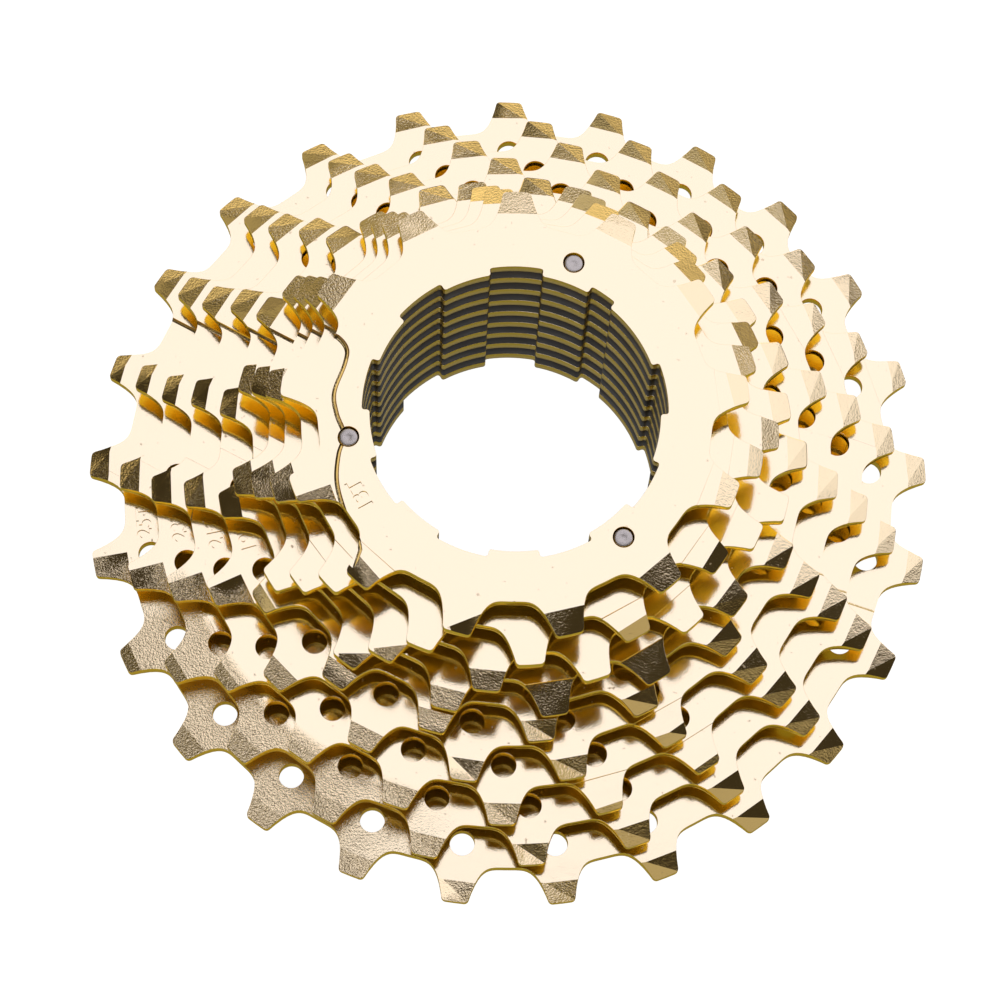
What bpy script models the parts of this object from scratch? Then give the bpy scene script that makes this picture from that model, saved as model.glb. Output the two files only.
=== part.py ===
"""Riveted cassette block: nine chain sprockets and eight spacers on a nine-groove freehub spline.

Units are metres and +Z is up. The block lies on the back face of its largest sprocket, with the
hub axis along Z and its smallest sprocket on top. The origin is the axis at that back face.
"""

from math import cos, pi, radians, sin

import bmesh
import bpy

# The chain and the freehub fix these sizes.
CHAIN_PITCH = 0.0127
SPROCKET_SPACING = 0.00395
PLATE_THICKNESS = 0.0016
SPLINE_GROOVES = 9
SPLINE_ANGLE = 89.5  # middle of the first groove, in degrees from +X
GROOVE_WIDTH = 20.5  # degrees
KEY_GROOVE = 8  # the narrow groove, which lets the block on in one position only
KEY_GROOVE_WIDTH = 10.7  # degrees, kept on the far edge of the groove's place
GROOVE_RADIUS = 0.01765
LAND_RADIUS = 0.01675

# Angle of one tooth of each sprocket, in degrees from +X, from the largest at the back to the
# smallest. They set where the chain steps from one sprocket to the next.
TOOTH_ANGLE = {25: 90.0, 23: 7.2, 21: 11.6, 19: 15.5, 17: 0.3, 16: 8.6, 15: 0.2, 14: 16.5, 13: 6.5}

# One valley between two teeth: a fourth-power curve from root to tip.
ROOT_BELOW_PITCH = 0.00385
TIP_ABOVE_PITCH = 0.00055
VALLEY_HALF_WIDTH = 0.00485
VALLEY_STEPS = (-1.0, -0.86, -0.62, -0.3, 0.3, 0.62, 0.86, 1.0)

SPACER_RADIUS = 0.0215
SPACER_GAP = 0.00005  # left free on each side of a spacer
SPACER_SIDES = 45

RIVET_CIRCLE = 0.0194
RIVET_ANGLES = (69.5, 189.5, 309.5)
RIVET_RADIUS = 0.00105
RIVET_HOLE_RADIUS = 0.00125
RIVET_HEAD_RADIUS = 0.0017
RIVET_HEAD_HEIGHT = 0.0007
RIVET_HEAD_CLEARANCE = 0.0002
RIVET_SETBACK = 0.0002  # both ends stop this far inside the faces
RIVET_SIDES = 12

HOLE_BELOW_PITCH = 0.00645
HOLE_RADIUS = 0.0015
HOLE_SIDES = 8
# Which teeth of each sprocket have a hole under them, counted from the first tooth.
HOLED_TEETH = {25: range(25), 23: range(23), 21: range(21), 19: range(19), 17: range(12, 15)}
SMALL_HOLE_BELOW_PITCH = 0.00515  # on the 17-tooth sprocket, whose rim is narrow

STACK_HEIGHT = (len(TOOTH_ANGLE) - 1) * SPROCKET_SPACING + PLATE_THICKNESS


def clear_scene():
    for obj in list(bpy.data.objects):
        bpy.data.objects.remove(obj, do_unlink=True)


def add_collection(name):
    collection = bpy.data.collections.new(name)
    bpy.context.scene.collection.children.link(collection)
    return collection


def make_material(name, colour, roughness, metallic):
    material = bpy.data.materials.new(name)
    material.use_nodes = True
    shader = material.node_tree.nodes["Principled BSDF"]
    shader.inputs["Base Color"].default_value = (*colour, 1.0)
    shader.inputs["Roughness"].default_value = roughness
    shader.inputs["Metallic"].default_value = metallic
    return material


def polar(radius, degrees):
    angle = radians(degrees)
    return radius * cos(angle), radius * sin(angle)


def circle(radius, sides, centre=(0.0, 0.0)):
    """A circle whose flats, and not its corners, reach the radius."""
    corner = radius / cos(pi / sides)
    return [
        (centre[0] + corner * cos(2 * pi * side / sides), centre[1] + corner * sin(2 * pi * side / sides))
        for side in range(sides)
    ]


def pitch_radius(teeth):
    return CHAIN_PITCH / 2 / sin(pi / teeth)


def tooth_outline(teeth):
    radius = pitch_radius(teeth)
    root = radius - ROOT_BELOW_PITCH
    rise = ROOT_BELOW_PITCH + TIP_ABOVE_PITCH
    points = []
    for valley in range(teeth):
        middle = TOOTH_ANGLE[teeth] + (valley + 0.5) * 360 / teeth
        for step in VALLEY_STEPS:
            across = step * VALLEY_HALF_WIDTH / radius * 180 / pi
            points.append(polar(root + rise * step**4, middle + across))
    return points


def spline_outline():
    """The bore: grooves for the freehub's ribs, with lands between them."""
    pitch = 360 / SPLINE_GROOVES
    edges = []
    for groove in range(SPLINE_GROOVES):
        end = SPLINE_ANGLE + groove * pitch + GROOVE_WIDTH / 2
        width = KEY_GROOVE_WIDTH if groove == KEY_GROOVE else GROOVE_WIDTH
        edges.append((end - width, end))
    points = []
    for groove, (start, end) in enumerate(edges):
        next_start = edges[(groove + 1) % SPLINE_GROOVES][0] + (360 if groove == SPLINE_GROOVES - 1 else 0)
        points += [polar(GROOVE_RADIUS, angle) for angle in (start, (start + end) / 2, end)]
        points += [polar(LAND_RADIUS, angle) for angle in (end, (end + next_start) / 2, next_start)]
    return points


def rivet_holes():
    return [circle(RIVET_HOLE_RADIUS, RIVET_SIDES, polar(RIVET_CIRCLE, angle)) for angle in RIVET_ANGLES]


def lightening_holes(teeth):
    """Round holes, one under each tooth that has one."""
    radius = pitch_radius(teeth) - (SMALL_HOLE_BELOW_PITCH if teeth == 17 else HOLE_BELOW_PITCH)
    return [
        circle(HOLE_RADIUS, HOLE_SIDES, polar(radius, TOOTH_ANGLE[teeth] + tooth * 360 / teeth))
        for tooth in HOLED_TEETH.get(teeth, ())
    ]


def flat_plate(name, outlines, bottom, thickness, collection, material):
    """A plate with its first outline outside and the others cut through it."""
    curve = bpy.data.curves.new(name, "CURVE")
    curve.dimensions = "2D"
    curve.fill_mode = "BOTH"
    curve.extrude = thickness / 2
    for outline in outlines:
        spline = curve.splines.new("POLY")
        spline.points.add(len(outline) - 1)
        for point, (x, y) in zip(spline.points, outline):
            point.co = (x, y, 0.0, 1.0)
        spline.use_cyclic_u = True
    drawn = bpy.data.objects.new(name, curve)
    collection.objects.link(drawn)
    graph = bpy.context.evaluated_depsgraph_get()
    mesh = bpy.data.meshes.new_from_object(drawn.evaluated_get(graph))
    bpy.data.objects.remove(drawn, do_unlink=True)
    bpy.data.curves.remove(curve)

    work = bmesh.new()
    work.from_mesh(mesh)
    bmesh.ops.remove_doubles(work, verts=work.verts, dist=1e-6)
    bmesh.ops.recalc_face_normals(work, faces=work.faces)
    work.to_mesh(mesh)
    work.free()
    mesh.name = name
    mesh.materials.clear()
    mesh.materials.append(material)
    plate = bpy.data.objects.new(name, mesh)
    plate.location.z = bottom + thickness / 2
    collection.objects.link(plate)
    return plate


def add_sprocket(teeth, place, collection, material):
    outlines = [tooth_outline(teeth), spline_outline(), *rivet_holes(), *lightening_holes(teeth)]
    bottom = place * SPROCKET_SPACING
    return flat_plate(f"sprocket_{teeth}t", outlines, bottom, PLATE_THICKNESS, collection, material)


def add_spacer(place, collection, material):
    outlines = [circle(SPACER_RADIUS, SPACER_SIDES), spline_outline(), *rivet_holes()]
    bottom = (place - 1) * SPROCKET_SPACING + PLATE_THICKNESS + SPACER_GAP
    thickness = SPROCKET_SPACING - PLATE_THICKNESS - 2 * SPACER_GAP
    return flat_plate(f"spacer_{place}", outlines, bottom, thickness, collection, material)


def sink_rivet_heads(sprocket, cutters):
    """Round pockets in the back face, one for each rivet's head."""
    depth = RIVET_SETBACK + RIVET_HEAD_HEIGHT + RIVET_HEAD_CLEARANCE
    for number, angle in enumerate(RIVET_ANGLES, 1):
        x, y = polar(RIVET_CIRCLE, angle)
        bpy.ops.mesh.primitive_cylinder_add(
            vertices=RIVET_SIDES,
            radius=RIVET_HEAD_RADIUS + RIVET_HEAD_CLEARANCE,
            depth=2 * depth,
            location=(x, y, 0.0),
        )
        cutter = bpy.context.object
        cutter.name = f"head_pocket_{number}"
        cutter.hide_render = True
        cutter.display_type = "WIRE"
        for owner in list(cutter.users_collection):
            owner.objects.unlink(cutter)
        cutters.objects.link(cutter)
        cut = sprocket.modifiers.new(cutter.name, "BOOLEAN")
        cut.operation = "DIFFERENCE"
        cut.solver = "EXACT"
        cut.object = cutter


def add_rivet(number, angle, collection, material):
    """A headed pin through the whole stack, turned from half its outline."""
    foot = RIVET_SETBACK
    top = STACK_HEIGHT - RIVET_SETBACK
    head = foot + RIVET_HEAD_HEIGHT
    profile = [
        (0.0, top),
        (RIVET_RADIUS, top),
        (RIVET_RADIUS, head),
        (RIVET_HEAD_RADIUS, head),
        (RIVET_HEAD_RADIUS, foot),
        (0.0, foot),
    ]
    mesh = bpy.data.meshes.new(f"rivet_{number}")
    points = [(radius, 0.0, height) for radius, height in profile]
    mesh.from_pydata(points, [(i, i + 1) for i in range(len(points) - 1)], [])
    mesh.materials.append(material)
    rivet = bpy.data.objects.new(f"rivet_{number}", mesh)
    rivet.location = (*polar(RIVET_CIRCLE, angle), 0.0)
    collection.objects.link(rivet)
    turn = rivet.modifiers.new("turn", "SCREW")
    turn.steps = turn.render_steps = RIVET_SIDES
    turn.use_merge_vertices = True
    turn.merge_threshold = 0.0001
    return rivet


def main():
    clear_scene()
    parts = add_collection("cassette_sprocket")
    cutters = add_collection("cutters")
    gold = make_material("gold_plate", (0.83, 0.60, 0.22), 0.12, 1.0)
    black_plastic = make_material("black_plastic", (0.020, 0.018, 0.018), 0.45, 0.0)
    steel = make_material("rivet_steel", (0.62, 0.60, 0.66), 0.25, 1.0)

    for place, teeth in enumerate(TOOTH_ANGLE):
        sprocket = add_sprocket(teeth, place, parts, gold)
        if place == 0:
            sink_rivet_heads(sprocket, cutters)
        else:
            add_spacer(place, parts, black_plastic)
    for number, angle in enumerate(RIVET_ANGLES, 1):
        add_rivet(number, angle, parts, steel)


main()
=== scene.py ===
import math

import bmesh
import bpy
from mathutils import Matrix, Vector


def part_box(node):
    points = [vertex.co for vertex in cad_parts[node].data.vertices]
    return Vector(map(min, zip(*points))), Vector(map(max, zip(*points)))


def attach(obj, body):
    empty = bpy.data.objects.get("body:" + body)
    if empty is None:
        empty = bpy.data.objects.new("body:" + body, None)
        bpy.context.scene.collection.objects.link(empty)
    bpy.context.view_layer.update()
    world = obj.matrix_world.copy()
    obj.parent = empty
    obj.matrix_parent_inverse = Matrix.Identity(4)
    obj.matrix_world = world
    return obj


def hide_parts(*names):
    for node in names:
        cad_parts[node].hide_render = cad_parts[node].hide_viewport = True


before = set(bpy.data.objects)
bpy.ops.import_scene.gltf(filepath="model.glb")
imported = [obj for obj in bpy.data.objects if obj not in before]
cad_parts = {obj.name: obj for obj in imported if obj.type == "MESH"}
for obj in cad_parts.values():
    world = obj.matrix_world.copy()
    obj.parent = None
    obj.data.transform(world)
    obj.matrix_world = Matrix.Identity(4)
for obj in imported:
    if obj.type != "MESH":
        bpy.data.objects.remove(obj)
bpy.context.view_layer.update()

print("frame loaded:", len(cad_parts), "nodes")

# small helpers


def polar(radius, degrees, height=0.0):
    angle = math.radians(degrees)
    return Vector((radius * math.cos(angle), radius * math.sin(angle), height))


def turn(degrees, axis="Z"):
    return Matrix.Rotation(math.radians(degrees), 4, axis)


def makeObject(name, bm):
    mesh = bpy.data.meshes.new(name)
    bm.to_mesh(mesh)
    bm.free()
    obj = bpy.data.objects.new(name, mesh)
    bpy.context.scene.collection.objects.link(obj)
    return obj


def settle(obj):  # turns the modifiers into plain mesh
    graph = bpy.context.evaluated_depsgraph_get()
    mesh = bpy.data.meshes.new_from_object(obj.evaluated_get(graph))
    obj.modifiers.clear()
    obj.data = mesh


def combine(obj, tool, operation="DIFFERENCE", keepTool=False):
    boolean = obj.modifiers.new("combine", "BOOLEAN")
    boolean.operation = operation
    boolean.solver = "EXACT"
    boolean.object = tool
    settle(obj)
    if not keepTool:
        bpy.data.objects.remove(tool, do_unlink=True)


def extrudeUp(bm, faces, height):
    grown = bmesh.ops.extrude_face_region(bm, geom=faces)["geom"]
    moved = [part for part in grown if isinstance(part, bmesh.types.BMVert)]
    bmesh.ops.translate(bm, vec=(0, 0, height), verts=moved)
    openEdges = [edge for edge in bm.edges if edge.is_boundary]
    if openEdges:
        bmesh.ops.contextual_create(bm, geom=openEdges)
    bmesh.ops.recalc_face_normals(bm, faces=bm.faces)


def roundEdges(bm, edges, offset, segments):
    bmesh.ops.bevel(bm, geom=edges, offset=offset, offset_type="OFFSET", affect="EDGES",
                    segments=segments, profile=0.5, material=-1, clamp_overlap=True)


def addRod(bm, radius, low, high, centre, sides):
    middle = Matrix.Translation((centre[0], centre[1], (low + high) / 2))
    bmesh.ops.create_cone(bm, cap_ends=True, segments=sides, radius1=radius, radius2=radius,
                          depth=high - low, matrix=middle)


def addBlock(bm, size, matrix):
    # a block with one corner edge on the matrix's origin: it runs out along +X, both ways along Y and up
    verts = bmesh.ops.create_cube(bm, size=1.0)["verts"]
    bmesh.ops.translate(bm, vec=(0.5, 0, 0.5), verts=verts)
    bmesh.ops.scale(bm, vec=size, verts=verts)
    bmesh.ops.transform(bm, matrix=matrix, verts=verts)


def uprightCorners(bm):
    upright = [edge for edge in bm.edges if abs(edge.verts[0].co.z - edge.verts[1].co.z) > 1e-4]
    return [edge for edge in upright if edge.calc_face_angle(0) > 0.5]  # radians


def cutAway(plate, name, bm):  # does nothing where no cutter was added
    if bm.verts:
        combine(plate, makeObject(name, bm))
    else:
        bm.free()


# the splined bore and the rivet holes: one tall cutter shared by every plate and ring

spline = {
    "grooves": 9,
    "firstGroove": 89.5,       # degrees
    "grooveWidth": 20.5,
    "keyGroove": 8,            # the narrow one
    "keyWidth": 10.7,
    "grooveRadius": 0.01765,
    "landRadius": 0.01675,
    "cornerRadius": 0.00032,
    "cornerSegments": 3,
    "degreesPerStep": 2,
    "overshoot": 0.003,        # how far the cutter goes past the stack
}
rivet = {
    "circle": 0.0194,
    "angles": (69.5, 189.5, 309.5),
    "radius": 0.00115,
    "holeRadius": 0.00125,
    "holeSides": 32,
    "headRadius": 0.0017,
    "headHeight": 0.0007,
    "headClearance": 0.0002,
    "setback": 0.0002,         # of both ends behind the stack's faces
    "steps": 48,
}

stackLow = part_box("sprocket_25t")[0][2]
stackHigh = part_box("sprocket_13t")[1][2]


def makeBoreCutter():
    low, high = stackLow - spline["overshoot"], stackHigh + spline["overshoot"]
    between = 360 / spline["grooves"]
    bm = bmesh.new()
    row = []
    for groove in range(spline["grooves"]):
        end = spline["firstGroove"] + groove * 360 / spline["grooves"] + spline["grooveWidth"] / 2
        width = spline["keyWidth"] if groove == spline["keyGroove"] else spline["grooveWidth"]
        nextWidth = spline["keyWidth"] if groove + 1 == spline["keyGroove"] else spline["grooveWidth"]
        land = between - nextWidth
        arcs = ((spline["grooveRadius"], end - width, width), (spline["landRadius"], end, land))
        for radius, start, sweep in arcs:
            steps = round(sweep / spline["degreesPerStep"])
            for step in range(steps + 1):
                row.append(bm.verts.new(polar(radius, start + sweep * step / steps, low)))
    for start, end in zip(row, row[1:] + row[:1]):
        bm.edges.new((start, end))
    bmesh.ops.contextual_create(bm, geom=bm.edges[:])
    extrudeUp(bm, bm.faces[:], high - low)
    roundEdges(bm, uprightCorners(bm), spline["cornerRadius"], spline["cornerSegments"])
    cutter = makeObject("boreCutter", bm)
    bm = bmesh.new()
    for angle in rivet["angles"]:
        addRod(bm, rivet["holeRadius"], low, high, polar(rivet["circle"], angle)[:2], rivet["holeSides"])
    combine(cutter, makeObject("rivetHoles", bm), "UNION")
    return cutter


boreCutter = makeBoreCutter()
print("bore cutter made")

# sprockets

chain = {
    "pitch": 0.0127,
    "rootBelowPitch": 0.00385,
    "tipAbovePitch": 0.00055,
    "valleyHalfWidth": 0.00485,
    "valleySteps": 14,         # points on each half of a valley
    "steepness": (4.8, 4),     # of a valley's clockwise and anticlockwise sides
    "tipCornerRadius": 0.0004,
    "tipCornerSegments": 3,
}
toothAngle = {25: 90.0, 23: 7.2, 21: 11.6, 19: 15.5, 17: 0.3, 16: 8.6, 15: 0.2, 14: 16.5, 13: 6.5}
holes = {
    "radius": 0.0015,
    "belowPitch": 0.00645,
    "smallBelowPitch": 0.00515,   # on the narrow rim of the 17-tooth sprocket
    "sides": 40,
    "overshoot": 0.001,
    "teeth": {25: range(25), 23: range(23), 21: range(21), 19: range(19), 17: range(12, 15)},
}
rims = {
    "edge": 0.00015,
    "segments": 2,
    "leastAngle": 0.9,         # radians between the two faces of a rim
    "level": 0.7,              # a level face's normal points up more than this
    "wall": 0.3,               # and a wall's less than this
    "roundRivets": 0.0021,     # no rims this near a rivet, on the back
    "weld": 2e-5,
    "flatten": 0.004,          # radians
}

# Facets pressed into the front of each tooth, one letter a tooth, anticlockwise from the first
facetKinds = {
    25: "dddddddlsppdddddddddddddd",
    23: "ddddddddddddlspdddddddd",
    21: "dddddddddddlssddaaddd",
    19: "ddddddddddlppdddddd",
    17: "ddddddddddsppdddd",
    16: "pppppppppntphhdn",
    15: "kkkpkpppwntpnnn",
    14: "kkkkpppwnnnkkk",
    13: "wwwwwwnlwtwww",
}
# Each cut: inward from the tip, sideways, turn of its hinge line, slope out from that line, slope sideways
facets = {
    "d": [(0.0024, 0, 0, 13, 0), (0.0024, -0.00175, -13.4, 19.5, 0)],
    "p": [(0.0023, 0, 0, 13, 0)],
    "s": [(0.0014, 0, 0, 15, 0)],
    "a": [(0.0014, 0, 0, 17, 0)],
    "w": [(0.0029, 0, 0, 9.5, 0)],
    "k": [(0.0021, 0, 0, 22, 0)],
    "h": [(0.0024, 0, 12, 12, 0)],
    "t": [(0.0028, 0.0023, 36.6, 14, 0)],
    "l": [(0.0042, -0.0007, 0, 0, -12)],
    "n": [],
}
# Shift ramps: tooth, distance inward from the tip, depth at its clockwise and anticlockwise ends, slope out
ramps = {
    25: [(20, 0.0042, 0.00002, 0.00028, 0.5)],
    23: [(1, 0.0042, 0.00002, 0.00028, 0.5)],
    21: [(1, 0.0042, 0.00002, 0.00028, 0.5), (16, 0.0042, 0.00026, 0.00012, 0.3),
         (17, 0.0042, 0.00024, 0.00012, 0.3)],
    19: [(15, 0.0042, 0.0003, 0.0001, 1)],
    16: [(12, 0.0039, 0.00065, 0.0003, 7), (13, 0.0039, 0.0007, 0.0003, 7)],
    15: [(9, 0.0042, 0.0002, 0.00002, 0.5), (13, 0.0038, 0.0003, 0.0001, 0.8),
         (14, 0.0038, 0.0003, 0.0001, 0.8)],
    14: [(8, 0.0042, 0.0002, 0.00002, 0.5), (11, 0.0037, 0.0003, 0.00008, 0.8),
         (12, 0.0037, 0.0003, 0.00008, 0.8), (13, 0.0037, 0.00025, 0.00005, 0.8)],
    13: [(0, 0.0037, 0.0002, 0.00003, 0.5), (8, 0.0037, 0.00003, 0.0002, 0.5),
         (12, 0.0037, 0.0002, 0.00003, 0.5)],
}
rampHalfLength = 0.0044
# Sizes of the blocks that cut the facets and the ramps away
blocks = {
    "facet": (0.008, 0.008, 0.003),
    "ramp": (0.009, 2 * rampHalfLength, 0.003),
    "stepHeight": 0.003,
}
# A long sloping recess starts at a step along a radius
recess = {
    "angle": 152.0,
    "depth": 0.00035,
    "fillet": 0.00042,
    "segments": 4,
    "inner": 0.86,             # where it starts, as a share of the next sprocket's root radius
    "length": 0.5,             # as a share of the same radius
    "beyondPitch": 0.002,
}
crease = {"angle": 341.0, "depth": 0.00016, "teeth": (25, 23, 21)}
wave = {  # recess of the smallest sprocket: radius and angle along its inner edge
    "points": [(0.0262, 155.0), (0.0226, 155.6), (0.0206, 158.4), (0.0201, 164.0), (0.0206, 174.0),
               (0.0202, 181.0), (0.0195, 188.8), (0.0206, 195.0), (0.0218, 203.0), (0.0226, 212.0),
               (0.0240, 224.0), (0.0285, 229.0)],
    "outerCorner": (0.034, 192),   # radius and angle of a point outside the teeth
    "steps": 8,                # between two points
    "depth": 0.00035,
    "cutHeight": 0.002,
    "fillet": 0.0006,
    "segments": 4,
}
marks = {
    "places": {25: (0.0445, 185.6), 23: (0.0403, 188.4), 21: (0.0362, 192.5), 19: (0.0328, 197.0),
               17: (0.0284, 201.0), 16: (0.0266, 203.0), 15: (0.0252, 206.0), 13: (0.0204, 210.0)},
    "size": 0.0025,
    "depth": 0.0002,
    "stroke": 0.00005,         # added to each side of a stroke
    "thin": (17,),             # left as it is on these
}


def pitchRadius(teeth):
    return chain["pitch"] / 2 / math.sin(math.pi / teeth)


def makeToothedPlate(teeth, low, high):
    radius = pitchRadius(teeth)
    tip = radius + chain["tipAbovePitch"]
    root = radius - chain["rootBelowPitch"]
    halfTooth = 180 / teeth
    halfValley = math.degrees(chain["valleyHalfWidth"] / radius)
    steps = chain["valleySteps"]
    bm = bmesh.new()
    row = [bm.verts.new(polar(tip, toothAngle[teeth], low))]
    for step in range(-steps, steps + 1):
        share = step / steps
        clockwise, anticlockwise = chain["steepness"]
        height = root + (tip - root) * abs(share)**(clockwise if share < 0 else anticlockwise)
        row.append(bm.verts.new(polar(height, toothAngle[teeth] + halfTooth + share * halfValley, low)))
    row.append(bm.verts.new(polar(tip, toothAngle[teeth] + 2 * halfTooth, low)))
    for start, end in zip(row, row[1:]):
        bm.edges.new((start, end))
    bmesh.ops.spin(bm, geom=bm.verts[:] + bm.edges[:], cent=(0, 0, 0), axis=(0, 0, 1),
                   angle=math.radians(360 - 2 * halfTooth), steps=teeth - 1, use_duplicate=True)
    bmesh.ops.remove_doubles(bm, verts=bm.verts, dist=1e-6)
    bmesh.ops.contextual_create(bm, geom=bm.edges[:])
    extrudeUp(bm, bm.faces[:], high - low)
    corners = [edge for edge in uprightCorners(bm) if edge.verts[0].co.xy.length > tip - 1e-5]
    roundEdges(bm, corners, chain["tipCornerRadius"], chain["tipCornerSegments"])
    return makeObject(f"sprocket{teeth}", bm)


def cutFacets(plate, teeth, top):
    tip = pitchRadius(teeth) + chain["tipAbovePitch"]
    for layer in range(2):
        bm = bmesh.new()
        for tooth, kind in enumerate(facetKinds[teeth]):
            for inward, sideways, skew, slope, sideSlope in facets[kind][layer:layer + 1]:
                place = Matrix.Translation((tip - inward, sideways, top))
                tilt = turn(skew) @ turn(slope, "Y") @ turn(sideSlope, "X")
                angle = toothAngle[teeth] + tooth * 360 / teeth
                addBlock(bm, blocks["facet"], turn(angle) @ place @ tilt)
        cutAway(plate, "facets", bm)


def cutRamps(plate, teeth, top):
    tip = pitchRadius(teeth) + chain["tipAbovePitch"]
    bm = bmesh.new()
    for tooth, inward, clockwise, anticlockwise, slope in ramps.get(teeth, ()):
        lean = math.degrees(math.atan((clockwise - anticlockwise) / (2 * rampHalfLength)))
        place = Matrix.Translation((tip - inward, 0, top - (clockwise + anticlockwise) / 2))
        angle = toothAngle[teeth] + tooth * 360 / teeth
        addBlock(bm, blocks["ramp"], turn(angle) @ place @ turn(lean, "X") @ turn(slope, "Y"))
    cutAway(plate, "ramps", bm)


def cutSlopingStep(plate, angle, depth, length, inner, outer, top):
    # the block starts at the angle's radius and runs round anticlockwise, ever shallower
    lean = math.degrees(math.atan(depth / length))
    place = Matrix.Translation(((inner + outer) / 2, 0, top - depth))
    bm = bmesh.new()
    size = (length, outer - inner, blocks["stepHeight"])
    addBlock(bm, size, turn(angle) @ place @ turn(90) @ turn(-lean, "Y"))
    lowest = [edge for edge in bm.edges if max(v.co.z for v in edge.verts) < top + 1e-5]
    roundEdges(bm, lowest, recess["fillet"], recess["segments"])
    combine(plate, makeObject("slopingStep", bm))


def cutWave(plate, top):
    points = [polar(radius, angle, top - wave["depth"]) for radius, angle in wave["points"]]
    bm = bmesh.new()
    row = [bm.verts.new(points[0])]
    for before, start, end, after in zip(points, points[1:], points[2:], points[3:]):
        # a Bezier curve between two points, in line with their neighbours
        first, second = start + (end - before) / 6, end - (after - start) / 6
        for step in range(1, wave["steps"] + 1):
            share = step / wave["steps"]
            place = (start * (1 - share)**3 + first * 3 * share * (1 - share)**2
                     + second * 3 * share**2 * (1 - share) + end * share**3)
            row.append(bm.verts.new(place))
    row.append(bm.verts.new(points[-1]))
    row.append(bm.verts.new(polar(*wave["outerCorner"], top - wave["depth"])))
    bm.faces.new(row)
    extrudeUp(bm, bm.faces[:], wave["cutHeight"])
    floorEdges = [edge for edge in bm.edges if max(v.co.z for v in edge.verts) < top]
    roundEdges(bm, floorEdges, wave["fillet"], wave["segments"])
    combine(plate, makeObject("wave", bm))


def cutHoles(plate, teeth, low, high):
    below = holes["smallBelowPitch"] if teeth == 17 else holes["belowPitch"]
    bm = bmesh.new()
    for tooth in holes["teeth"].get(teeth, ()):
        place = polar(pitchRadius(teeth) - below, toothAngle[teeth] + tooth * 360 / teeth)
        addRod(bm, holes["radius"], low - holes["overshoot"], high + holes["overshoot"], place[:2],
               holes["sides"])
    if teeth == 25:
        depth = rivet["setback"] + rivet["headHeight"] + rivet["headClearance"]
        for angle in rivet["angles"]:
            addRod(bm, rivet["headRadius"] + rivet["headClearance"], low - depth, low + depth,
                   polar(rivet["circle"], angle)[:2], holes["sides"])
    cutAway(plate, "holes", bm)


def softenRims(plate):
    bm = bmesh.new()
    bm.from_mesh(plate.data)
    bmesh.ops.remove_doubles(bm, verts=bm.verts, dist=rims["weld"])
    bmesh.ops.dissolve_limit(bm, angle_limit=rims["flatten"], verts=bm.verts, edges=bm.edges)
    bmesh.ops.recalc_face_normals(bm, faces=bm.faces)
    heights = [vert.co.z for vert in bm.verts]
    middle = (min(heights) + max(heights)) / 2
    rivetPlaces = [polar(rivet["circle"], angle) for angle in rivet["angles"]]

    def isRim(edge):
        if not edge.is_convex or edge.calc_face_angle(0) < rims["leastAngle"]:
            return False
        where = edge.verts[0].co
        toRivet = min((where.xy - place.xy).length for place in rivetPlaces)
        if where.z < middle and toRivet < rims["roundRivets"]:
            return False
        flats = [abs(face.normal.z) for face in edge.link_faces]
        return max(flats) > rims["level"] and min(flats) < rims["wall"]

    roundEdges(bm, [edge for edge in bm.edges if isRim(edge)], rims["edge"], rims["segments"])
    bmesh.ops.remove_doubles(bm, verts=bm.verts, dist=4e-6)
    bmesh.ops.dissolve_degenerate(bm, edges=bm.edges, dist=2e-6)
    bm.to_mesh(plate.data)
    bm.free()


def cutMarks(plate, teeth, top):
    if teeth not in marks["places"]:
        return
    radius, angle = marks["places"][teeth]
    curve = bpy.data.curves.new("mark", "FONT")
    curve.body = f"{teeth}T"
    curve.size = marks["size"]
    curve.align_x = "CENTER"
    curve.align_y = "CENTER"
    curve.resolution_u = 4
    curve.extrude = marks["depth"]
    curve.offset = 0 if teeth in marks["thin"] else marks["stroke"]
    text = bpy.data.objects.new("mark", curve)
    bpy.context.scene.collection.objects.link(text)
    textMesh = bpy.data.meshes.new_from_object(text.evaluated_get(bpy.context.evaluated_depsgraph_get()))
    bpy.data.objects.remove(text, do_unlink=True)
    textMesh.transform(turn(angle) @ Matrix.Translation((radius, 0, top)) @ turn(-90))
    bm = bmesh.new()
    bm.from_mesh(textMesh)
    bmesh.ops.remove_doubles(bm, verts=bm.verts, dist=1e-6)
    bmesh.ops.recalc_face_normals(bm, faces=bm.faces)
    combine(plate, makeObject("text", bm))


def finishShading(obj, sharpAngle=40, stripWidth=0.00013):
    obj.data.set_sharp_from_angle(angle=math.radians(sharpAngle))
    # level faces and facets stay flat; walls and the narrow strips of a rounded rim are smooth
    for face in obj.data.polygons:
        around = sum((obj.data.vertices[first].co - obj.data.vertices[second].co).length
                     for first, second in face.edge_keys)
        face.use_smooth = abs(face.normal.z) < 0.75 or 2 * face.area / around < stripWidth


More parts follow.
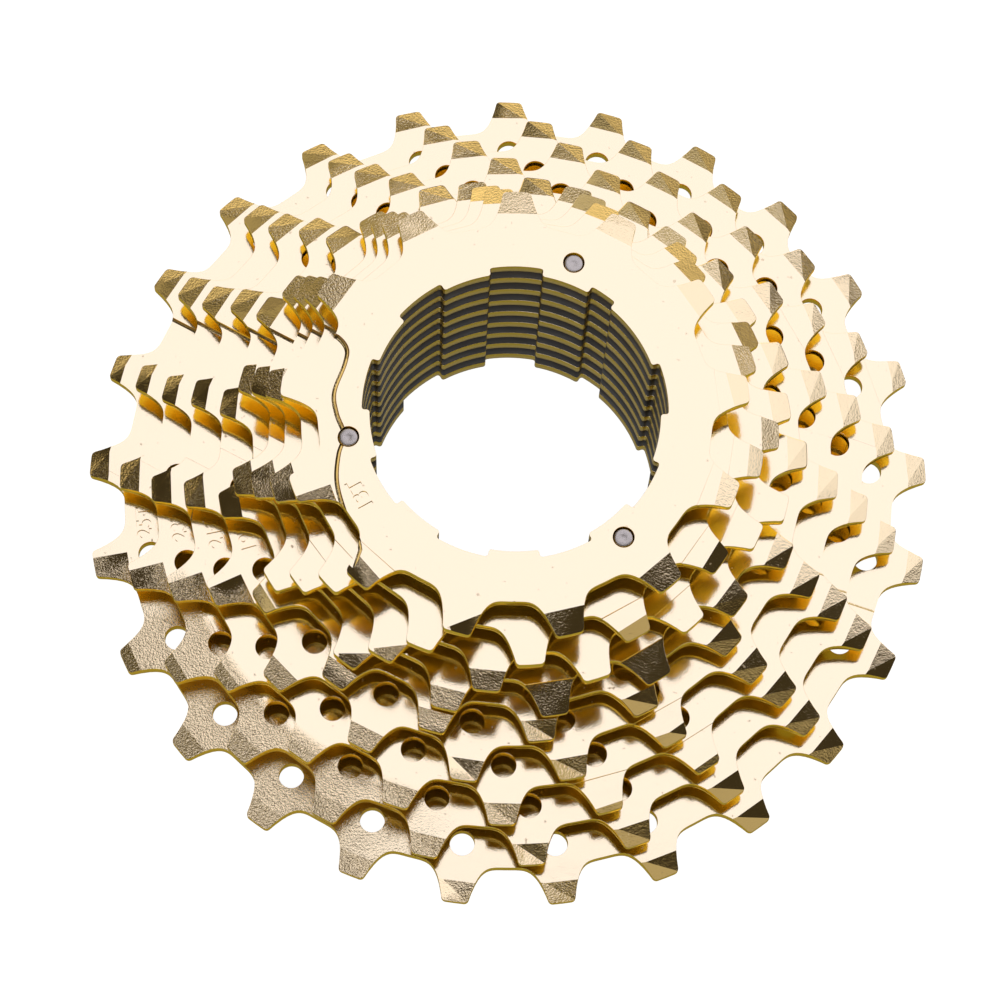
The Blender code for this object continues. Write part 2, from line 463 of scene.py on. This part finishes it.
def makeSprocket(teeth, nextTeeth):
    node = f"sprocket_{teeth}t"
    lowCorner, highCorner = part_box(node)
    low, high = lowCorner[2], highCorner[2]
    plate = makeToothedPlate(teeth, low, high)
    combine(plate, boreCutter, keepTool=True)
    cutHoles(plate, teeth, low, high)
    cutFacets(plate, teeth, high)
    cutRamps(plate, teeth, high)
    softenRims(plate)
    if nextTeeth:
        outer = pitchRadius(teeth) + recess["beyondPitch"]
        hidden = pitchRadius(nextTeeth) - chain["rootBelowPitch"]
        inner, length = hidden * recess["inner"], hidden * recess["length"]
        cutSlopingStep(plate, recess["angle"], recess["depth"], length, inner, outer, high)
        if teeth in crease["teeth"]:
            cutSlopingStep(plate, crease["angle"], crease["depth"], length, inner, outer, high)
    else:
        cutWave(plate, high)
    cutMarks(plate, teeth, high)
    plate.name = f"toothed_plate_{teeth}"
    finishShading(plate)
    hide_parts(node)
    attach(plate, "root")
    print("sprocket", teeth, "done:", len(plate.data.polygons), "faces")
    return plate


toothCounts = sorted(toothAngle, reverse=True)
plates = [makeSprocket(teeth, smaller) for teeth, smaller in zip(toothCounts, toothCounts[1:] + [None])]

# spacers

spacer = {
    "radius": 0.0215,
    "innerRadius": 0.012,      # inside the bore, which is cut away
    "groove": 0.00025,
    "grooveWidth": 0.0005,
    "steps": 144,
}


def makeSpacer(number):
    node = f"spacer_{number}"
    lowCorner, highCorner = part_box(node)
    low, high = lowCorner[2], highCorner[2]
    middle = (low + high) / 2
    # the ring's outline, with a shallow groove round its outer wall, spun about the axis
    radius, inner = spacer["radius"], spacer["innerRadius"]
    step, half = spacer["groove"], spacer["grooveWidth"] / 2
    outline = [(inner, low), (radius, low), (radius, middle - half), (radius - step, middle - half),
               (radius - step, middle + half), (radius, middle + half), (radius, high), (inner, high)]
    bm = bmesh.new()
    row = [bm.verts.new((across, 0, height)) for across, height in outline]
    for start, end in zip(row, row[1:] + row[:1]):
        bm.edges.new((start, end))
    bmesh.ops.spin(bm, geom=bm.verts[:] + bm.edges[:], cent=(0, 0, 0), axis=(0, 0, 1),
                   angle=2 * math.pi, steps=spacer["steps"], use_merge=True)
    bmesh.ops.remove_doubles(bm, verts=bm.verts, dist=1e-6)
    bmesh.ops.recalc_face_normals(bm, faces=bm.faces)
    ring = makeObject(node, bm)
    combine(ring, boreCutter, keepTool=True)
    softenRims(ring)
    ring.name = f"spacer_ring_{number}"
    finishShading(ring)
    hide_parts(node)
    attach(ring, "root")
    return ring


rings = [makeSpacer(number) for number in range(1, len(toothCounts))]
print("spacers done")

# rivets


def makeRivet(number, angle):
    foot = stackLow + rivet["setback"]
    head = foot + rivet["headHeight"]
    top = stackHigh - rivet["setback"]
    shank, wide = rivet["radius"], rivet["headRadius"]
    # a rounded head, the shank, and an end with a broken edge and a slight hollow
    outline = [(0, foot), (wide - 0.0004, foot), (wide - 0.0001, foot + 0.00012), (wide, foot + 0.0003),
               (wide, head), (shank, head), (shank, top - 0.0003), (shank - 0.00012, top - 0.0001),
               (shank - 0.0003, top - 0.00005), (0.0003, top - 0.00012), (0, top - 0.00015)]
    bm = bmesh.new()
    row = [bm.verts.new((across, 0, height)) for across, height in outline]
    for start, end in zip(row, row[1:]):
        bm.edges.new((start, end))
    bmesh.ops.spin(bm, geom=bm.verts[:] + bm.edges[:], cent=(0, 0, 0), axis=(0, 0, 1),
                   angle=2 * math.pi, steps=rivet["steps"], use_merge=True)
    bmesh.ops.remove_doubles(bm, verts=bm.verts, dist=1e-6)
    bmesh.ops.recalc_face_normals(bm, faces=bm.faces)
    bmesh.ops.translate(bm, vec=polar(rivet["circle"], angle), verts=bm.verts)
    pin = makeObject(f"rivet_pin_{number}", bm)
    pin.data.shade_smooth()
    pin.data.set_sharp_from_angle(angle=math.radians(40))
    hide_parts(f"rivet_{number}")
    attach(pin, "root")
    return pin


pins = [makeRivet(number, angle) for number, angle in enumerate(rivet["angles"], 1)]
bpy.data.objects.remove(boreCutter, do_unlink=True)
print("rivets done")

# materials


class Wire:  # a node socket that takes part in arithmetic
    def __init__(self, tree, socket=None):
        self.tree = tree
        self.socket = socket

    def node(self, kind, settings=None, inputs=None, output=0):
        made = self.tree.nodes.new(kind)
        for name, value in (settings or {}).items():
            setattr(made, name, value)
        for name, value in (inputs or {}).items():
            if isinstance(value, Wire):
                self.tree.links.new(value.socket, made.inputs[name])
            else:
                made.inputs[name].default_value = value
        return Wire(self.tree, made.outputs[output])

    def maths(self, operation, first, second):
        return self.node("ShaderNodeMath", {"operation": operation}, {0: first, 1: second})

    def __add__(self, other):
        return self.maths("ADD", self, other)

    def __radd__(self, other):
        return self.maths("ADD", other, self)

    def __sub__(self, other):
        return self.maths("SUBTRACT", self, other)

    def __rsub__(self, other):
        return self.maths("SUBTRACT", other, self)

    def __mul__(self, other):
        return self.maths("MULTIPLY", self, other)

    def __rmul__(self, other):
        return self.maths("MULTIPLY", other, self)


def startMaterial(name):
    material = bpy.data.materials.new(name)
    material.use_nodes = True
    tree = material.node_tree
    shader = tree.nodes["Principled BSDF"]
    return material, Wire(tree), shader


def noise(wire, place, scale, detail=2.0, roughness=0.5):
    return wire.node("ShaderNodeTexNoise", {}, {"Vector": place, "Scale": scale, "Detail": detail,
                                                "Roughness": roughness})


def spread(wire, value, low, high, toLow=0.0, toHigh=1.0):
    return wire.node("ShaderNodeMapRange", {"clamp": True}, {
        "Value": value, "From Min": low, "From Max": high, "To Min": toLow, "To Max": toHigh})


def upness(wire):  # 1 on level faces, 0 on walls, -1 on the underside
    return wire.node("ShaderNodeSeparateXYZ", {}, {0: wire.node("ShaderNodeNewGeometry", output=1)}, 2)


goldPlate = {
    # Painted light: pale cream on level faces stands in for the softbox washing them out; facets keep a
    # deeper gold; deep amber on walls stands in for gold-to-gold reflections
    "face": (1.0, 0.86, 0.50, 1),
    "facet": (0.98, 0.80, 0.42, 1),
    "wall": (1.0, 0.73, 0.06, 1),
    # painted shade: a dark brown outline on the rounded rims, standing in for the dark reflection along them
    "rim": (0.11, 0.065, 0.028, 1),
    "stain": (0.80, 0.62, 0.34, 1),
    "grainSize": 0.00024,
    "rippleSize": 0.005,
    "faceGrain": 0.000004,     # heights of the grain, in metres
    "facetGrain": 0.000006,
    "roughGrain": 0.000045,
    "ripple": 0.00004,
    "patchScale": 160,
    "speckScale": 1300,
    "roughness": 0.10,
    "grainRoughness": 0.06,
    "speckRoughness": 0.2,
    "wallRoughness": 0.16,
    "wallLean": 0.34,          # how far a wall's shading turns up, as on a sheared edge
    "roughZone": (199, 246, 0.040),   # the hammered stretch: from and to in degrees, and outside this radius
}


def makeGold():
    material, wire, shader = startMaterial("goldPlate")
    place = wire.node("ShaderNodeTexCoord", output=3)
    level = upness(wire)
    z = wire.node("ShaderNodeSeparateXYZ", {}, {0: place}, 2)
    back = spread(wire, z, stackLow + 0.0002, stackLow + 0.0004, 1, 0) * spread(wire, level, -0.35, -0.85)
    flat = spread(wire, level, 0.35, 0.85) + back
    # mask for the painted shade on the sloping strips of the rounded rims
    rim = spread(wire, level, 0.2, 0.5) * spread(wire, level, 0.87, 0.77)
    facet = spread(wire, level, 0.997, 0.989) * spread(wire, level, 0.78, 0.88)
    grain = noise(wire, place, 1 / goldPlate["grainSize"], 2.0, 0.6)
    ripple = noise(wire, place, 1 / goldPlate["rippleSize"], 2.0, 0.5)
    patches = spread(wire, noise(wire, place, goldPlate["patchScale"], 1.0), 0.38, 0.54)
    specks = spread(wire, noise(wire, place, goldPlate["speckScale"], 1.0), 0.74, 0.79)
    x = wire.node("ShaderNodeSeparateXYZ", {}, {0: place}, 0)
    y = wire.node("ShaderNodeSeparateXYZ", {}, {0: place}, 1)
    radius = wire.node("ShaderNodeVectorMath", {"operation": "LENGTH"}, {
        0: wire.node("ShaderNodeCombineXYZ", {}, {0: x, 1: y})}, 1)
    start, end, inner = goldPlate["roughZone"]
    fromStart = y * -math.cos(math.radians(start)) + x * math.sin(math.radians(start))
    beforeEnd = y * math.cos(math.radians(end)) - x * math.sin(math.radians(end))
    hammered = (spread(wire, fromStart, -0.002, 0.002, 1, 0) * spread(wire, beforeEnd, -0.004, 0.012, 1, 0)
                * spread(wire, radius, inner, inner + 0.001))
    # painted highlight: level faces take a pale cream, as if washed out by the softbox; facets and the
    # hammered stretch keep a deeper gold
    tint = wire.node("ShaderNodeMix", {"data_type": "RGBA"}, {
        "Factor": spread(wire, facet + hammered, 0, 1), 6: goldPlate["face"], 7: goldPlate["facet"]}, 2)
    # painted reflection: walls take a deep amber, standing in for the gold-to-gold reflections between the
    # plates
    tint = wire.node("ShaderNodeMix", {"data_type": "RGBA"}, {
        "Factor": flat, 6: goldPlate["wall"], 7: tint}, 2)
    # painted shade: dark brown along the rounded rims
    tint = wire.node("ShaderNodeMix", {"data_type": "RGBA"}, {
        "Factor": rim * 0.95, 6: tint, 7: goldPlate["rim"]}, 2)
    tint = wire.node("ShaderNodeMix", {"data_type": "RGBA"}, {
        "Factor": specks * 0.5, 6: tint, 7: goldPlate["stain"]}, 2)
    patches = patches * spread(wire, x, 0.02, -0.01, 0.2, 1)
    rough = spread(wire, facet * patches + hammered, 0, 1)
    height = goldPlate["faceGrain"] + facet * goldPlate["facetGrain"] + rough * goldPlate["roughGrain"]
    height = height * grain + ripple * goldPlate["ripple"]
    wall = spread(wire, level, -0.5, -0.2) * spread(wire, level, 0.5, 0.2)
    wall = wall * spread(wire, radius, 0.020, 0.0206)  # the bore's walls stay upright
    lean = wire.node("ShaderNodeCombineXYZ", {}, {2: wall * goldPlate["wallLean"]})
    lean = wire.node("ShaderNodeVectorMath", {"operation": "ADD"}, {
        0: wire.node("ShaderNodeNewGeometry", output=1), 1: lean})
    lean = wire.node("ShaderNodeVectorMath", {"operation": "NORMALIZE"}, {0: lean})
    normal = wire.node("ShaderNodeBump", {}, {
        "Strength": 1.0, "Distance": 1.0, "Height": height, "Normal": lean})
    roughness = goldPlate["roughness"] + rough * goldPlate["grainRoughness"]
    roughness = roughness + specks * goldPlate["speckRoughness"] + (1 - flat) * goldPlate["wallRoughness"]
    shader.inputs["Metallic"].default_value = 1.0
    tree = wire.tree
    tree.links.new(tint.socket, shader.inputs["Base Color"])
    tree.links.new(roughness.socket, shader.inputs["Roughness"])
    tree.links.new(normal.socket, shader.inputs["Normal"])
    return material


blackPlastic = {
    "colour": (0.022, 0.019, 0.018, 1),
    "pale": (0.045, 0.040, 0.038, 1),
    "grainSize": 0.0002,
    "grain": 0.000012,
    "cloudScale": 220,
    "roughness": 0.34,
}


def makeBlack():
    material, wire, shader = startMaterial("blackPlastic")
    place = wire.node("ShaderNodeTexCoord", output=3)
    grain = noise(wire, place, 1 / blackPlastic["grainSize"], 2.0)
    clouds = spread(wire, noise(wire, place, blackPlastic["cloudScale"], 3.0), 0.35, 0.7)
    tint = wire.node("ShaderNodeMix", {"data_type": "RGBA"}, {
        "Factor": clouds, 6: blackPlastic["colour"], 7: blackPlastic["pale"]}, 2)
    normal = wire.node("ShaderNodeBump", {}, {
        "Strength": 1.0, "Distance": 1.0, "Height": grain * blackPlastic["grain"]})
    tree = wire.tree
    tree.links.new(tint.socket, shader.inputs["Base Color"])
    tree.links.new((blackPlastic["roughness"] + clouds * 0.18).socket, shader.inputs["Roughness"])
    tree.links.new(normal.socket, shader.inputs["Normal"])
    return material


rivetSteel = {
    "colour": (0.52, 0.48, 0.37, 1),
    "turnMarks": 0.00012,
    "grain": 0.000012,
    "roughness": 0.22,
}


def makeSteel():
    material, wire, shader = startMaterial("rivetSteel")
    place = wire.node("ShaderNodeTexCoord", output=3)
    scratch = noise(wire, place, 1 / rivetSteel["turnMarks"], 3.0, 0.6)
    normal = wire.node("ShaderNodeBump", {}, {
        "Strength": 1.0, "Distance": 1.0, "Height": scratch * rivetSteel["grain"]})
    shader.inputs["Metallic"].default_value = 1.0
    shader.inputs["Base Color"].default_value = rivetSteel["colour"]
    tree = wire.tree
    tree.links.new((rivetSteel["roughness"] + scratch * 0.12).socket, shader.inputs["Roughness"])
    tree.links.new(normal.socket, shader.inputs["Normal"])
    return material


for pieces, material in ((plates, makeGold()), (rings, makeBlack()), (pins, makeSteel())):
    for piece in pieces:
        piece.data.materials.clear()
        piece.data.materials.append(material)
print("materials done")

# floor, light and camera

studio = {
    "floorSize": 6.0,
    "floorWhite": 1.0,         # how the floor looks
    "floorLight": 0.20,        # how much it lights the underside
    "floorColour": (0.25, 0.25, 0.25, 1),
    "floorGap": 0.0001,
    "horizon": (1.25, 1.02, 0.64, 1),
    "overhead": (0.040, 0.031, 0.018, 1),
    "panelHeight": 0.60,
    # soft boxes: middle, width and depth, turn, brightness, colour
    "panels": [
        ((0.170, 0.285), (0.60, 0.48), 0, 1.04, (1, 1, 1.38)),
        ((0.590, 0.250), (0.22, 0.50), 0, 0.93, (1, 1, 1.35)),
        ((-0.190, -0.255), (0.34, 0.22), -25, 1.10, (1, 1, 1.38)),
        ((-0.240, 0.560), (0.38, 0.34), 0, 0.33, (1, 0.84, 0.50)),
        ((0.200, 0.620), (0.34, 0.16), 0, 0.50, (1, 0.90, 0.72)),
        ((0.180, -0.330), (0.46, 0.22), 0, 0.42, (1, 0.86, 0.60)),
        ((-0.345, -0.030), (0.10, 0.20), 30, 0.50, (1, 0.90, 0.72)),
    ],
}


def makeFloor():
    bm = bmesh.new()
    bmesh.ops.create_grid(bm, x_segments=1, y_segments=1, size=studio["floorSize"] / 2)
    floor = makeObject("floor", bm)
    material, wire, shader = startMaterial("paleFloor")
    seen = wire.node("ShaderNodeLightPath")
    glow = wire.node("ShaderNodeMix", {"data_type": "RGBA"}, {
        "Factor": seen, 6: (studio["floorLight"],) * 3 + (1,), 7: (studio["floorWhite"],) * 3 + (1,)}, 2)
    wire.tree.links.new(glow.socket, shader.inputs["Emission Color"])
    shader.inputs["Base Color"].default_value = studio["floorColour"]
    shader.inputs["Roughness"].default_value = 0.9
    shader.inputs["Specular IOR Level"].default_value = 0.0
    shader.inputs["Emission Strength"].default_value = 1.0
    floor.data.materials.append(material)
    floor.location.z = stackLow - studio["floorGap"]


def makeLights():
    world = bpy.data.worlds.new("studioWorld")
    world.use_nodes = True
    wire = Wire(world.node_tree)
    height = wire.node("ShaderNodeSeparateXYZ", {}, {0: wire.node("ShaderNodeTexCoord")}, 2)
    room = wire.node("ShaderNodeMix", {"data_type": "RGBA"}, {
        "Factor": spread(wire, height, 0.35, 0.60), 6: studio["horizon"], 7: studio["overhead"]}, 2)
    room = wire.node("ShaderNodeMix", {"data_type": "RGBA"}, {
        "Factor": wire.node("ShaderNodeLightPath"), 6: room, 7: (1, 1, 1, 1)}, 2)
    background = world.node_tree.nodes["Background"]
    world.node_tree.links.new(room.socket, background.inputs["Color"])
    bpy.context.scene.world = world
    for number, (middle, size, turned, brightness, colour) in enumerate(studio["panels"]):
        lamp = bpy.data.lights.new(f"softBox{number}", "AREA")
        lamp.shape = "RECTANGLE"
        lamp.size, lamp.size_y = size
        lamp.energy = brightness * math.pi * size[0] * size[1]
        lamp.color = colour
        box = bpy.data.objects.new(f"softBox{number}", lamp)
        box.location = (*middle, studio["panelHeight"])
        box.rotation_euler.z = math.radians(turned)
        bpy.context.scene.collection.objects.link(box)


view = {
    "azimuth": 4.4,            # degrees the camera has gone round from straight in front
    "elevation": 73.18,
    "distance": 0.5129,
    "roll": 4.62,
    "lens": 150.8,
    "shiftX": -0.0086,
    "shiftY": -0.0055,
}


def makeCamera():
    camera = bpy.data.cameras.new("camera")
    camera.lens = view["lens"]
    camera.sensor_width = 36
    camera.clip_start = 0.01
    camera.shift_x = view["shiftX"]
    camera.shift_y = view["shiftY"]
    obj = bpy.data.objects.new("camera", camera)
    back = Matrix.Translation((0, 0, view["distance"]))
    obj.matrix_world = turn(-view["azimuth"]) @ turn(90 - view["elevation"], "X") @ back @ turn(view["roll"])
    bpy.context.scene.collection.objects.link(obj)
    bpy.context.scene.camera = obj


makeFloor()
makeLights()
makeCamera()
bpy.context.scene.view_settings.view_transform = "Standard"
